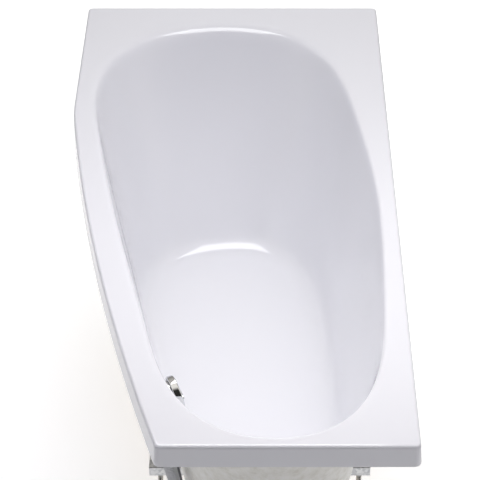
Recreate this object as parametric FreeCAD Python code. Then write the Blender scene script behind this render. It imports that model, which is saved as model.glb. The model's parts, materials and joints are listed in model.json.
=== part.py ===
import FreeCAD, Part
import math, os

# Asymmetric space-saving corner bath: an acrylic shell with a drafted skirt, its laminate and
# timber reinforcement, a pair of leg rails with five levelling feet, a pop-up waste worked by a
# rotary overflow through a sheathed cable, and a shallow trap.
# Millimetres. +X is the wall side, +Y the sloping head end, +Z up; z = 0 is the floor.

V = FreeCAD.Vector
os.makedirs("parts", exist_ok=True)

# ---------------------------------------------------------------- driving dimensions
LENGTH = 1600.0            # along the wall
WIDTH = 750.0              # at the head end
RIM_Z = 580.0              # top of the rim above the floor
SKIRT_H = 50.0             # height of the rim's turned-down skirt
SKIRT_DRAFT = 3.5          # how far the skirt leans out at its lower edge
SKIRT_R = 6.5              # rounding of the skirt's top edge
CORNER_R = 15.0            # plan radius of the outer corners
ACRYLIC = 5.0              # sheet thickness of the shell
LAMINATE = 3.0             # sprayed glass-fibre laminate behind it
FLOOR_Z = 160.0            # inside floor at the waste
FLOOR_FALL = 0.010         # fall of the floor to the waste
BOARD_T = 15.0             # base board
FRONT_R = 6049.0           # bow of the front (room) side
FRONT_MID = (-278.4, -248.3)   # middle of that bow
FRONT_N = (-0.9766, -0.2155)   # outward direction there
KINK_LEN = 43.0            # half length of the soft bend between the straight and the bowed front

WASTE = (70.0, -560.0)     # axis of the waste
WASTE_HOLE_R = 26.0
OVERFLOW_DEPTH = 70.0      # overflow axis below the rim
OVERFLOW_XY = (-112.0, -585.0)   # and its place in plan
OVERFLOW_HOLE_R = 26.0
BOARD_FALL = FLOOR_FALL    # the board lies parallel to the floor
RAIL_HEAD_Y, RAIL_FOOT_Y = 230.0, -400.0
RAIL_W, RAIL_H, RAIL_T = 40.0, 25.0, 2.5
ROD_R = 6.0                # threaded foot rods
FEET = {"head_left": (-262.0, RAIL_HEAD_Y), "head_right": (246.0, RAIL_HEAD_Y),
        "foot_left": (-150.0, RAIL_FOOT_Y), "foot_right": (290.0, RAIL_FOOT_Y)}
CENTRE_FOOT = (25.0, -80.0)
TRAP_OUT_R = 20.0          # trap tube, outside
TRAP_IN_R = 17.5
HOSE_R, HOSE_BORE = 14.5, 12.0
CABLE_R = 2.5

# Closed uniform cubic spline poles of the inner rim line (plan) and of the floor's edge line.
RIM_POLES = [(-29, 709), (-181, 673), (-293, 572), (-330, 426), (-313, 275), (-286, 130),
             (-260, -15), (-230, -160), (-195, -303), (-162, -446), (-129, -593), (-54, -726),
             (91, -787), (239, -738), (307, -602), (322, -448), (329, -301), (334, -155),
             (333, -7), (320, 140), (299, 286), (277, 434), (230, 578), (122, 681)]
FLOOR_POLES = [(15, 323), (-78, 309), (-157, 268), (-205, 203), (-215, 124), (-199, 42),
               (-178, -56), (-152, -178), (-118, -316), (-84, -457), (-49, -583), (14, -676),
               (112, -708), (200, -658), (235, -549), (240, -429), (238, -306), (233, -178),
               (226, -59), (218, 45), (205, 140), (177, 217), (131, 277), (75, 313)]
FLOOR_GROW = 7.0           # the walls' foot line stands this far outside FLOOR_POLES
# reach of the rounding at the rim and at the floor, at each pole
RIM_REACH = [38, 38, 36, 30, 22, 20, 20, 20, 20, 20, 20, 18, 16, 17, 17, 16, 15, 15, 15, 16, 18, 24, 34, 38]
FLOOR_REACH = [70, 70, 68, 62, 58, 56, 56, 56, 56, 56, 56, 58, 60, 58, 56, 56, 56, 56, 56, 56, 60, 64, 68, 70]
N = len(RIM_POLES)


# ---------------------------------------------------------------- the basin's surface
def unit(x, y):
    l = math.hypot(x, y)
    return x / l, y / l


def pole_normals(p):
    # outward plan normals of a closed pole loop that runs anticlockwise seen from above
    out = []
    for i in range(len(p)):
        ax, ay = p[i - 1]
        bx, by = p[(i + 1) % len(p)]
        tx, ty = unit(bx - ax, by - ay)
        out.append((ty, -tx))
    return out


RIM_N = pole_normals(RIM_POLES)
FLOOR_N = pole_normals(FLOOR_POLES)
FOOT_POLES = [(FLOOR_POLES[i][0] + FLOOR_GROW * FLOOR_N[i][0], FLOOR_POLES[i][1] + FLOOR_GROW * FLOOR_N[i][1]) for i in range(N)]


def floor_z(y):
    return FLOOR_Z + FLOOR_FALL * (y - WASTE[1])


def basin_poles(t):
    # rows of poles from the rim plane over the rounding, down the wall and over the floor
    # fillet onto the floor, for the skin t millimetres behind the inside face
    cols = []
    for i in range(N):
        ex, ey = RIM_POLES[i]
        nx, ny = RIM_N[i]
        kx, ky = FOOT_POLES[i]
        mx, my = FLOOR_N[i]
        a = RIM_REACH[i]
        b = FLOOR_REACH[i]
        fz = floor_z(ky)
        drop = RIM_Z - fz
        run = math.hypot(kx - ex, ky - ey)
        slope = math.atan2(abs((kx - ex) * nx + (ky - ey) * ny), drop)
        h = t * (1 - math.sin(slope)) / math.cos(slope)
        wall = math.sqrt(run * run + drop * drop)

        def at(f):
            return (ex + (kx - ex) * f + nx * h, ey + (ky - ey) * f + ny * h, RIM_Z - drop * f - t)
        fx, fy = kx - mx * b * 2 / 3, ky - my * b * 2 / 3
        gx, gy = kx - mx * b, ky - my * b
        cols.append([
            (ex + nx * a, ey + ny * a, RIM_Z - t),
            (ex + nx * (a * 2 / 3 + h / 3), ey + ny * (a * 2 / 3 + h / 3), RIM_Z - t),
            at(0.0), at(a / wall), at(0.5), at(1 - b / wall), at(1.0),
            (fx + mx * h / 3, fy + my * h / 3, floor_z(fy) - t),
            (gx, gy, floor_z(gy) - t)])
    return cols


def basin_face(t):
    cols = basin_poles(t)
    rows = len(cols[0])
    s = Part.BSplineSurface()
    s.buildFromPolesMultsKnots([[V(*p) for p in c] for c in cols], [1] * (N + 1),
                               [4] + [1] * (rows - 4) + [4], [float(k) for k in range(N + 1)],
                               [float(k) for k in range(rows - 2)], True, False, 3, 3)
    return s.toShape()


def basis(u):
    return ((1 - u) ** 3 / 6, (3 * u ** 3 - 6 * u ** 2 + 4) / 6, (-3 * u ** 3 + 3 * u ** 2 + 3 * u + 1) / 6, u ** 3 / 6)


def rim_point(u):
    i = int(math.floor(u))
    w = basis(u - i)
    return [sum(w[k] * RIM_POLES[(i - 1 + k) % N][c] for k in range(4)) for c in (0, 1)]


def end_edges(face):
    # the loops of the basin face at the rim and at the floor
    es = [e for e in face.Edges if e.isClosed()]
    es.sort(key=lambda e: e.BoundBox.Center.z)
    return es[-1], es[0]


# ---------------------------------------------------------------- the outline
CEN = (FRONT_MID[0] - FRONT_R * FRONT_N[0], FRONT_MID[1] - FRONT_R * FRONT_N[1])


def outline(d, z):
    # the bath's plan outline, d millimetres inside the outermost line, as a wire at height z
    xl, xr, yt, yb = -WIDTH / 2 + d, WIDTH / 2 - d, LENGTH / 2 - d, -LENGTH / 2 + d
    R = FRONT_R - d
    c = max(CORNER_R - d, 3.0)
    ang_d = math.asin((yb - CEN[1]) / R)
    ang_d = -math.pi - ang_d
    ang_k = -math.acos((xl - CEN[0]) / R)
    yk = CEN[1] + R * math.sin(ang_k)

    def on(a):
        return CEN[0] + R * math.cos(a), CEN[1] + R * math.sin(a)
    xd = on(ang_d)[0]
    half = math.atan2(abs(on(ang_d)[1] - on(ang_d + 0.001)[1]), abs(on(ang_d)[0] - on(ang_d + 0.001)[0]))
    inner = math.pi - half                       # inside angle of the near-left corner
    td = c / math.tan(inner / 2)
    # unit directions from that corner along the front and along the near edge
    tx, ty = -math.cos(half), math.sin(half)
    bx, by = unit(1 + tx, ty)
    dm = c / math.sin(inner / 2) - c
    s = 1 / math.sqrt(2)
    P = lambda x, y: V(x, y, z)
    k1 = (xl, yk + KINK_LEN)
    a2 = ang_k + KINK_LEN / R
    k2 = on(a2)
    km = ((k1[0] + k2[0]) / 2 * 0.5 + xl * 0.5, (k1[1] + k2[1]) / 2 * 0.5 + yk * 0.5)
    a3 = ang_d - td / R
    d1 = on(a3)
    edges = [
        Part.makeLine(P(xl + c, yt), P(xr - c, yt)),
        Part.Arc(P(xr - c, yt), P(xr - c + c * s, yt - c + c * s), P(xr, yt - c)).toShape(),
        Part.makeLine(P(xr, yt - c), P(xr, yb + c)),
        Part.Arc(P(xr, yb + c), P(xr - c + c * s, yb + c - c * s), P(xr - c, yb)).toShape(),
        Part.makeLine(P(xr - c, yb), P(xd + td, yb)),
        Part.Arc(P(xd + td, yb), P(xd + bx * dm, yb + by * dm), P(*d1)).toShape(),
        Part.Arc(P(*d1), P(*on((a2 + a3) / 2)), P(*k2)).toShape(),
        Part.Arc(P(*k2), P(*km), P(*k1)).toShape(),
        Part.makeLine(P(*k1), P(xl, yt - c)),
        Part.Arc(P(xl, yt - c), P(xl + c - c * s, yt - c + c * s), P(xl + c, yt)).toShape(),
    ]
    return Part.Wire(edges)


def outline_at(d, a):
    R = FRONT_R - d
    return CEN[0] + R * math.cos(a), CEN[1] + R * math.sin(a)


# ---------------------------------------------------------------- small helpers
def cyl(x, y, z0, z1, r):
    return Part.makeCylinder(r, z1 - z0, V(x, y, z0))


def ring(x, y, z0, z1, r1, r0):
    return cyl(x, y, z0, z1, r1).cut(cyl(x, y, z0 - 1, z1 + 1, r0))


def box(x0, y0, z0, x1, y1, z1):
    return Part.makeBox(x1 - x0, y1 - y0, z1 - z0, V(x0, y0, z0))


def revolve(pts, at=(0, 0)):
    # solid of revolution about the vertical axis through `at`, from (radius, height) points
    w = Part.makePolygon([V(at[0] + r, at[1], z) for r, z in pts + [pts[0]]])
    return Part.Face(w).revolve(V(at[0], at[1], 0), V(0, 0, 1), 360)


def hexnut(x, y, z0, z1, af, r0):
    rr = af / 2 / math.cos(math.pi / 6)
    w = Part.makePolygon([V(x + rr * math.cos(k * math.pi / 3), y + rr * math.sin(k * math.pi / 3), z0) for k in range(7)])
    s = Part.Face(w).extrude(V(0, 0, z1 - z0))
    lim = revolve([(0.0, z0), (af / 2 * 1.03, z0), (rr * 1.02, z0 + 1.6), (rr * 1.02, z1 - 1.6), (af / 2 * 1.03, z1), (0.0, z1)], (x, y))
    return s.common(lim).cut(cyl(x, y, z0 - 1, z1 + 1, r0))


NODES = {}


def put(name, shape):
    NODES[name] = shape


# ---------------------------------------------------------------- shell and laminate
def basin_solid(t, top_z):
    # everything inside the skin at offset t, closed by flat faces at its two end loops
    f = basin_face(t)
    top, bottom = end_edges(f)
    shell = Part.Shell([f, Part.Face(Part.Wire(top)), Part.Face(Part.Wire(bottom))])
    s = Part.makeSolid(shell)
    if s.Volume < 0:
        s = Part.makeSolid(shell.reversed())
    return s, top


def skin(t0, t1):
    # the basin's skin between offsets t0 and t1, with a plain upright wall round its top
    f0, f1 = basin_face(t0), basin_face(t1)
    top0, bot0 = end_edges(f0)
    top1, bot1 = end_edges(f1)
    wall = Part.makeRuledSurface(top0, top1)
    faces = [f0, f1, Part.Face(Part.Wire(bot0)), Part.Face(Part.Wire(bot1)), wall]
    sh = Part.makeShell(faces)
    sh.sewShape()
    s = Part.makeSolid(sh)
    s.fix(1e-4, 1e-4, 1e-3)
    if s.Volume < 0:
        s.reverse()
    return s, top0


def top_plug(top, z0, z1):
    w = Part.Wire(top)
    w.translate(V(0, 0, z0 - w.BoundBox.ZMin))
    return Part.Face(w).extrude(V(0, 0, z1 - z0))



def route(points):
    # straight runs joined by tangent arcs as large as the two runs allow
    pts = [V(*p) for p in points]
    edges, start, radii = [], pts[0], []
    for k in range(1, len(pts) - 1):
        a, b, c = pts[k - 1], pts[k], pts[k + 1]
        u, v = (b - a).normalize(), (c - b).normalize()
        la, lb = (b - a).Length, (c - b).Length
        turn = u.getAngle(v)
        cut = 0.45 * min(la, lb)
        r = cut / math.tan(turn / 2)
        radii.append(round(r))
        p, q = b - u * cut, b + v * cut
        n = (v - u).normalize()
        m = b + n * (r / math.cos(turn / 2) - r)
        edges.append(Part.LineSegment(start, p).toShape())
        edges.append(Part.Arc(p, m, q).toShape())
        start = q
    edges.append(Part.LineSegment(start, pts[-1]).toShape())
    w = Part.Wire(edges)
    print("route length", round(w.Length, 1), "radii", radii)
    return w, (pts[1] - pts[0]).normalize()


def tube(path, direction, r):
    start = path.Vertexes[0].Point
    prof = Part.Wire(Part.makeCircle(r, start, direction))
    s = path.makePipeShell([prof], True, True)
    if s.Volume < 0:
        s = Part.makeSolid(s.Shells[0].reversed())
    print("tube r", r, "volume", round(s.Volume), "section x length", round(math.pi * r * r * path.Length), s.isValid())
    return s


# overflow frame: x along the wall, y up the wall, z into the bath
F0 = basin_face(0.0)
surf = F0.Surface
ux, uy = OVERFLOW_XY
oz = RIM_Z - OVERFLOW_DEPTH
O = V(ux, uy, oz)
for _ in range(12):
    uu, vv = surf.parameter(O)
    O = surf.value(uu, vv)
    O = V(O.x, O.y, oz)
uu, vv = surf.parameter(O)
O = surf.value(uu, vv)
ON = surf.normal(uu, vv)
if ON.dot(V(70, 0, oz) - O) < 0:
    ON = ON * -1
OT = V(0, 0, 1).cross(ON).normalize()
OB = ON.cross(OT).normalize()
OVER = FreeCAD.Placement(FreeCAD.Matrix(OT.x, OB.x, ON.x, O.x, OT.y, OB.y, ON.y, O.y, OT.z, OB.z, ON.z, O.z, 0, 0, 0, 1))
print("overflow at", [round(c, 2) for c in O], "axis", [round(c, 5) for c in ON])


def over(shape):
    s = shape.copy()
    s.Placement = OVER.multiply(s.Placement)
    return s


def over_pt(x, y, z):
    return OVER.multVec(V(x, y, z))


WX, WY = WASTE

# the shell: a rounded rim plate with its skirt, and the basin's skin, as one moulded sheet
slab = Part.makeLoft([outline(0, RIM_Z - SKIRT_H), outline(SKIRT_DRAFT, RIM_Z)], True, True)
top_edges = [e for e in slab.Edges if e.BoundBox.ZMin > RIM_Z - 0.01]
slab = slab.makeFillet(SKIRT_R, top_edges)
d_in = SKIRT_DRAFT * (SKIRT_H - ACRYLIC) / SKIRT_H
pocket = Part.makeLoft([outline(ACRYLIC - 0.07, RIM_Z - SKIRT_H - 1), outline(ACRYLIC + d_in, RIM_Z - ACRYLIC)], True, True)
skin0, top0 = skin(0.0, ACRYLIC)
tray = slab.cut(pocket).cut(top_plug(top0, RIM_Z - 2 * ACRYLIC, RIM_Z + ACRYLIC))
shell = tray.fuse(skin0)
waste_hole = cyl(WX, WY, 100, 200, WASTE_HOLE_R)
recess = cyl(WX, WY, FLOOR_Z - 2.8, FLOOR_Z + 5, 36.5)
overflow_hole = over(Part.makeCylinder(OVERFLOW_HOLE_R, 60, V(0, 0, -30)))
shell = shell.cut(waste_hole).cut(recess).cut(overflow_hole)
put("bath_shell", shell)

# laminate: an even skin behind the basin and under the rim plate
skin1, top1 = skin(ACRYLIC, ACRYLIC + LAMINATE)
d_l = SKIRT_DRAFT * (SKIRT_H - ACRYLIC) / SKIRT_H + ACRYLIC + 0.3
plate = Part.makeLoft([outline(d_l, RIM_Z - ACRYLIC - LAMINATE), outline(d_l, RIM_Z - ACRYLIC)], True, True)
plate = plate.cut(top_plug(top1, RIM_Z - 30, RIM_Z))
laminate = plate.fuse(skin1).cut(waste_hole).cut(overflow_hole)
put("shell_laminate", laminate)

# ---------------------------------------------------------------- board, battens
FOOT_CURVE = [(FOOT_POLES[i][0] - 14 * FLOOR_N[i][0], FOOT_POLES[i][1] - 14 * FLOOR_N[i][1]) for i in range(N)]
cb = Part.BSplineCurve()
cb.buildFromPolesMultsKnots([V(x, y, 0) for x, y in FOOT_CURVE], [1] * (N + 1), [float(k) for k in range(N + 1)], True, 3)
under = FLOOR_Z - ACRYLIC - LAMINATE
board = Part.Face(Part.Wire(cb.toShape())).extrude(V(0, 0, BOARD_T))
board.translate(V(0, 0, under - BOARD_T))
board = board.common(box(-400, -468, 0, 400, 292, 400))
vert = [e for e in board.Edges if abs(e.BoundBox.ZLength - BOARD_T) < 0.01 and e.BoundBox.XLength < 0.01]
try:
    board = board.makeFillet(18.0, vert)
except Exception:
    print("board corners left square")
board.rotate(V(WX, WY, under), V(1, 0, 0), math.degrees(math.atan(BOARD_FALL)))


def board_under(y):
    return under - BOARD_T + BOARD_FALL * (y - WY)


lam_under = RIM_Z - ACRYLIC - LAMINATE
batten_wall = box(349.5, -700, lam_under - 27, 366.4, 700, lam_under)
batten_head = box(-300, 738, lam_under - 22, 300, 791.4, lam_under)
batten_foot = box(-88, -791.0, lam_under - 36, 350, -779.0, lam_under - 13)
angs = []
for yy in (300.0, -620.0):
    angs.append(math.pi + math.asin((CEN[1] - yy) / (FRONT_R - 20)))


def batten_arc(d, z):
    p = [outline_at(d, a) for a in (angs[0], (angs[0] + angs[1]) / 2, angs[1])]
    return Part.Arc(*[V(x, y, z) for x, y in p]).toShape()


zf = lam_under - 26
oa, ia = batten_arc(8.4, zf), batten_arc(36.0, zf)
front_wire = Part.Wire([oa, Part.makeLine(oa.Vertexes[-1].Point, ia.Vertexes[-1].Point), ia,
                        Part.makeLine(ia.Vertexes[0].Point, oa.Vertexes[0].Point)])
batten_front = Part.Face(front_wire).extrude(V(0, 0, 26))

# ---------------------------------------------------------------- leg rails, screws, nuts, feet
screws, nuts = [], []


def rail(yc, x0, x1, feet, screw_x):
    zt = board_under(yc - RAIL_W / 2) - 0.05
    r = box(x0, yc - RAIL_W / 2, zt - RAIL_H, x1, yc + RAIL_W / 2, zt)
    r = r.makeFillet(3.0, [e for e in r.Edges if e.BoundBox.XLength > 50 and e.BoundBox.ZMin > zt - 0.01])
    r = r.cut(box(x0 - 1, yc - RAIL_W / 2 + RAIL_T, zt - RAIL_H - 1, x1 + 1, yc + RAIL_W / 2 - RAIL_T, zt - RAIL_T))
    for fx, fy in feet:
        r = r.cut(cyl(fx, fy, zt - 10, zt + 5, ROD_R + 0.5))
        nuts.append(hexnut(fx, fy, zt, zt + 10, 19.0, ROD_R + 0.3))
        nuts.append(hexnut(fx, fy, zt - RAIL_T - 8, zt - RAIL_T, 19.0, ROD_R + 0.3))
    for k, sx in enumerate(screw_x):
        sy = yc + (9 if k % 2 else -9)
        r = r.cut(cyl(sx, sy, zt - 10, zt + 5, 2.6))
        screws.append(screw_up(sx, sy, zt - RAIL_T, 2.2, 4.6, RAIL_T + 11.5))
    return r, zt


def screw_up(x, y, z, r, head_r, reach):
    # a pan-headed wood screw driven upwards; z is the face its head bears on
    s = revolve([(0, z - 2.6), (head_r * 0.55, z - 2.6), (head_r * 0.9, z - 1.8), (head_r, z - 0.7), (head_r, z), (r, z),
                 (r, z + reach - 3), (0, z + reach)], (x, y))
    return s.cut(box(x - head_r * 0.62, y - 0.5, z - 4, x + head_r * 0.62, y + 0.5, z - 1.5)).cut(
        box(x - 0.5, y - head_r * 0.62, z - 4, x + 0.5, y + head_r * 0.62, z - 1.5))


rail_head, zth = rail(RAIL_HEAD_Y, -285, 269, [FEET["head_left"], FEET["head_right"]], [-120, -45, 30, 105])
rail_foot, ztf = rail(RAIL_FOOT_Y, -173, 313, [FEET["foot_left"], FEET["foot_right"]], [-50, 30, 125, 200])

cx, cy = CENTRE_FOOT
zc = board_under(cy - 42) - 0.05
cplate = box(cx - 42, cy - 42, zc - 3, cx + 42, cy + 42, zc)
cplate = cplate.makeFillet(8.0, [e for e in cplate.Edges if e.BoundBox.ZLength > 2.9])
cplate = cplate.fuse(revolve([(0, zc - 3), (17, zc - 3), (13, zc - 9), (12, zc - 14), (12, 92), (11, 91), (0, 91)], (cx, cy))).cut(
    cyl(cx, cy, 80, zc - 3, ROD_R + 0.3))
plate_screws = []
for sx, sy in ((-32, -32), (32, -32), (-32, 32), (32, 32)):
    cplate = cplate.cut(cyl(cx + sx, cy + sy, zc - 10, zc + 5, 2.6))
    plate_screws.append(screw_up(cx + sx, cy + sy, zc - 3, 2.2, 4.6, 3 + 11.0))

for s in screws + plate_screws:
    board = board.cut(s)
put("base_board", board)
put("leg_rail_head", rail_head)
put("leg_rail_foot", rail_foot)
put("leg_rail_screws", Part.makeCompound(screws))
put("leg_rail_nuts", Part.makeCompound(nuts))
put("centre_foot_plate", cplate)
put("centre_plate_screws", Part.makeCompound(plate_screws))


def foot_pad(x, y):
    p = revolve([(0, 0), (21.0, 0), (22.5, 1.5), (22.5, 5.0), (21.0, 7.0), (14.0, 10.0), (10.5, 14.0), (9.5, 20.0), (0, 20.0)], (x, y))
    return p.cut(cyl(x, y, 7, 30, ROD_R + 0.02))


def foot_rod(x, y, zt):
    return revolve([(0, 7.0), (ROD_R, 7.0), (ROD_R, zt - 1.2), (ROD_R - 1.2, zt), (0, zt)], (x, y))


for nm, (fx, fy) in FEET.items():
    zt = (zth if "head" in nm else ztf) + 46
    slot = box(fx - 7, fy - 0.7, zt - 3, fx + 7, fy + 0.7, zt + 1)
    put("foot_rod_" + nm, foot_rod(fx, fy, zt).cut(slot))
    put("foot_pad_" + nm, foot_pad(fx, fy))
put("foot_rod_centre", foot_rod(cx, cy, 116.0))
put("foot_pad_centre", foot_pad(cx, cy))

# ---------------------------------------------------------------- wall brackets
bscrews = []
for k, yb in enumerate((-350.0, 350.0)):
    zb = lam_under - 27
    w = Part.makePolygon([V(351, yb - 15, zb), V(351, yb - 15, zb - 2), V(364, yb - 15, zb - 2), V(364, yb - 15, 524), V(373, yb - 15, 524),
                          V(373, yb - 15, 462), V(375, yb - 15, 462), V(375, yb - 15, 526), V(366, yb - 15, 526), V(366, yb - 15, zb), V(351, yb - 15, zb)])
    b = Part.Face(w).extrude(V(0, 30, 0))
    for zz in (478.0, 508.0):
        b = b.cut(Part.makeCylinder(2.75, 10, V(369, yb, zz), V(1, 0, 0)))
    for dy in (-8, 8):
        b = b.cut(cyl(357.5, yb + dy, zb - 6, zb + 1, 2.4))
        s = screw_up(357.5, yb + dy, zb - 2, 2.0, 4.2, 18)
        bscrews.append(s)
        batten_wall = batten_wall.cut(s)
    put("wall_bracket_%d" % (k + 1), b)
zb = lam_under - 22
w = Part.makePolygon([V(-15, 765, zb), V(-15, 765, zb - 2), V(-15, 789, zb - 2), V(-15, 789, 524), V(-15, 798, 524),
                      V(-15, 798, 462), V(-15, 800, 462), V(-15, 800, 526), V(-15, 791, 526), V(-15, 791, zb), V(-15, 765, zb)])
b = Part.Face(w).extrude(V(30, 0, 0))
for zz in (478.0, 508.0):
    b = b.cut(Part.makeCylinder(2.75, 10, V(0, 794, zz), V(0, 1, 0)))
for dx in (-8, 8):
    b = b.cut(cyl(dx, 774, zb - 6, zb + 1, 2.4))
    s = screw_up(dx, 774, zb - 2, 2.0, 4.2, 16)
    bscrews.append(s)
    batten_head = batten_head.cut(s)
put("wall_bracket_3", b)
put("wall_bracket_screws", Part.makeCompound(bscrews))
put("rim_batten_wall", batten_wall)
put("rim_batten_head", batten_head)
put("rim_batten_foot", batten_foot)
put("rim_batten_front", batten_front)

# ---------------------------------------------------------------- pop-up waste
zr = FLOOR_Z - 2.8                        # bottom of the recess round the waste
put("waste_seal_upper", ring(WX, WY, zr, zr + 1.5, 34.5, 24.6))
zs = zr + 1.5
zt = zs + 2.5                             # top of the waste flange
flange = revolve([(21.0, 128.0), (24.5, 128.0), (24.5, zs), (35.0, zs), (35.6, zs + 0.9), (35.0, zt - 0.5), (33.8, zt), (24.0, zt), (21.0, zt - 4.2)], (WX, WY))
hub = ring(WX, WY, 134, 146, 8.0, 4.3)
spokes = [box(WX + 6.5, WY - 1.5, 135, WX + 21.6, WY + 1.5, 145)]
for k in range(1, 4):
    s = spokes[0].copy()
    s.rotate(V(WX, WY, 0), V(0, 0, 1), 90 * k)
    spokes.append(s)
for s in [hub] + spokes:
    flange = flange.fuse(s)
flange = flange.removeSplitter()
put("waste_flange", flange)
put("waste_seal_lower", ring(WX, WY, under - 2.2, under - 0.45, 38.0, 26.5))
zw = under - 2.2                          # top of the waste body's flange
body = revolve([(24.55, zw), (40.0, zw), (40.0, zw - 4.0), (30.5, zw - 4.0), (30.5, 98.0), (28.5, 96.0), (23.0, 96.0), (23.0, 84.0),
                (TRAP_IN_R, 84.0), (TRAP_IN_R, 96.0), (22.0, 100.0), (26.0, 103.0), (26.0, 127.0), (24.55, 128.0)], (WX, WY))
side = Part.makeCylinder(HOSE_R, 34, V(WX - 28, WY, 114), V(-1, 0, 0)).cut(Part.makeCylinder(30.0, 40, V(WX, WY, 95)))
gland = Part.makeCylinder(6.5, 18, V(WX, WY - 28, 112), V(0, -1, 0)).cut(Part.makeCylinder(30.0, 40, V(WX, WY, 90)))
body = body.fuse(side).fuse(gland)
body = body.cut(Part.makeCylinder(HOSE_BORE, 45, V(WX - 20, WY, 114), V(-1, 0, 0)))
body = body.cut(Part.makeCylinder(CABLE_R + 0.02, 40, V(WX, WY - 20, 112), V(0, -1, 0)))
PIN_X, PIN_Z = WX + 18.0, 109.0
body = body.cut(Part.makeCylinder(1.5, 60, V(PIN_X, WY - 30, PIN_Z), V(0, 1, 0)))
put("waste_body", body)
put("lift_lever_pin", Part.makeCylinder(1.5, 46, V(PIN_X, WY - 23, PIN_Z), V(0, 1, 0)))
lev = box(PIN_X - 24, WY - 3, PIN_Z - 2, PIN_X, WY + 3, PIN_Z + 3).fuse(Part.makeCylinder(3.0, 6, V(PIN_X, WY - 3, PIN_Z), V(0, 1, 0)))
lev = lev.removeSplitter().cut(Part.makeCylinder(1.56, 10, V(PIN_X, WY - 5, PIN_Z), V(0, 1, 0)))
put("lift_lever", lev)

put("plug_cap", revolve([(0, zt - 3.7), (11.9, zt - 3.7), (11.9, zt), (24.0, zt), (24.6, zt + 0.5), (29.3, zt + 0.5), (29.6, zt + 1.2),
                         (28.7, zt + 2.3), (20, zt + 4.9), (10, zt + 6.1), (0, zt + 6.5)], (WX, WY)))
put("plug_seal", revolve([(11.9, zt - 2.8), (21.5, zt - 2.8), (23.5, zt - 0.05), (11.9, zt - 0.05)], (WX, WY)))
put("plug_stem", revolve([(0, 113.0), (3.0, 113.0), (4.0, 114.0), (4.0, zt - 3.7), (0, zt - 3.7)], (WX, WY)))

# ---------------------------------------------------------------- rotary overflow
cavity, _ = basin_solid(0.0, RIM_Z)
outside, _ = basin_solid(ACRYLIC + LAMINATE, RIM_Z)
zc0 = Part.makeCylinder(30.0, 9.2, V(0, 0, -6)).cut(Part.makeCylinder(26.0, 30, V(0, 0, -15)))
put("overflow_front_seal", over(zc0).common(cavity))
plate_pts = [(4.3, 3.2), (30.5, 3.2), (31.0, 3.8), (31.0, 6.2), (29.8, 7.4), (4.3, 7.4)]
fp = revolve(plate_pts)
for k in range(3):
    slot = Part.makeCylinder(24.0, 10, V(0, 0, 0), V(0, 0, 1), 72).cut(Part.makeCylinder(15.0, 10, V(0, 0, 0)))
    slot.rotate(V(0, 0, 0), V(0, 0, 1), 120 * k - 6)
    fp = fp.cut(slot)
PLATE_SCREW = [(20.0 * math.cos(math.radians(a)), 20.0 * math.sin(math.radians(a))) for a in (90, 210, 330)]
oscrews = []
for sx, sy in PLATE_SCREW:
    fp = fp.cut(Part.makeCylinder(2.1, 20, V(sx, sy, -5))).cut(Part.makeCylinder(3.6, 5, V(sx, sy, 5.2)))
    oscrews.append(Part.makeCylinder(2.0, 17.5, V(sx, sy, -12)).fuse(Part.makeCylinder(3.5, 1.8, V(sx, sy, 5.2))).cut(
        Part.makeBox(5.0, 0.8, 1.0, V(sx - 2.5, sy - 0.4, 6.3))).removeSplitter())
put("overflow_face_plate", over(fp))
put("overflow_plate_screws", over(Part.makeCompound(oscrews)))

knob = revolve([(4.0, 9.0), (8.5, 9.0), (8.5, 19.0), (33.8, 18.6), (34.2, 8.2), (36.3, 7.8), (37.0, 8.5), (37.0, 20.6), (36.0, 22.2),
                (33.0, 23.1), (16.0, 24.0), (0, 24.2), (0, 19.0), (4.0, 19.0)])
grip = Part.makeBox(46, 8, 6.2, V(-23, -4.0, 20.6))
grip = grip.makeFillet(3.9, [e for e in grip.Edges if e.BoundBox.ZLength > 6])
grip = grip.makeFillet(1.6, [e for e in grip.Edges if e.BoundBox.ZMin > 26.7])
knob = knob.fuse(grip).removeSplitter()
put("overflow_knob", over(knob))
put("overflow_spindle", over(Part.makeCylinder(4.0, 51.0, V(0, 0, -32.0))))
put("cable_drum", over(Part.makeCylinder(11.0, 6, V(0, 0, -31)).cut(Part.makeCylinder(4.0, 20, V(0, 0, -36))).cut(
    Part.makeCylinder(12, 2.4, V(0, 0, -29.2)).cut(Part.makeCylinder(9.6, 2.4, V(0, 0, -29.2))))))

ob = revolve([(26.5, -12.0), (38.0, -12.0), (38.0, -15.5), (29.0, -15.5), (29.0, -41.0), (27.5, -43.0), (0, -43.0), (0, -40.0), (26.5, -40.0)])
spig = Part.makeCylinder(HOSE_R, 32, V(0, -22, -28), V(0, -1, 0)).cut(Part.makeCylinder(28.0, 50, V(0, 0, -50)))
gl = Part.makeCylinder(6.5, 23, V(-20.5, -14, -28), V(0, -1, 0)).cut(Part.makeCylinder(28.0, 50, V(0, 0, -50)))
ob = ob.fuse(spig).fuse(gl)
ob = ob.fuse(Part.makeCylinder(8.0, 7.0, V(0, 0, -40.5)))
for sx, sy in PLATE_SCREW:
    ob = ob.fuse(Part.makeCylinder(4.5, 36.5, V(sx, sy, -40.5)))
ob = ob.cut(Part.makeCylinder(HOSE_BORE, 44, V(0, -14, -28), V(0, -1, 0)))
ob = ob.cut(Part.makeCylinder(CABLE_R + 0.02, 44, V(-20.5, -15.5, -28), V(0, -1, 0)))
ob = ob.cut(Part.makeCylinder(4.3, 7.6, V(0, 0, -40.0)))
for sx, sy in PLATE_SCREW:
    ob = ob.cut(Part.makeCylinder(2.0, 20, V(sx, sy, -12.0)))
put("overflow_body", over(ob.removeSplitter()))
rs = Part.makeCylinder(36.5, 20, V(0, 0, -12)).cut(Part.makeCylinder(27.0, 40, V(0, 0, -20)))
put("overflow_rear_seal", over(rs).cut(outside))

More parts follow.
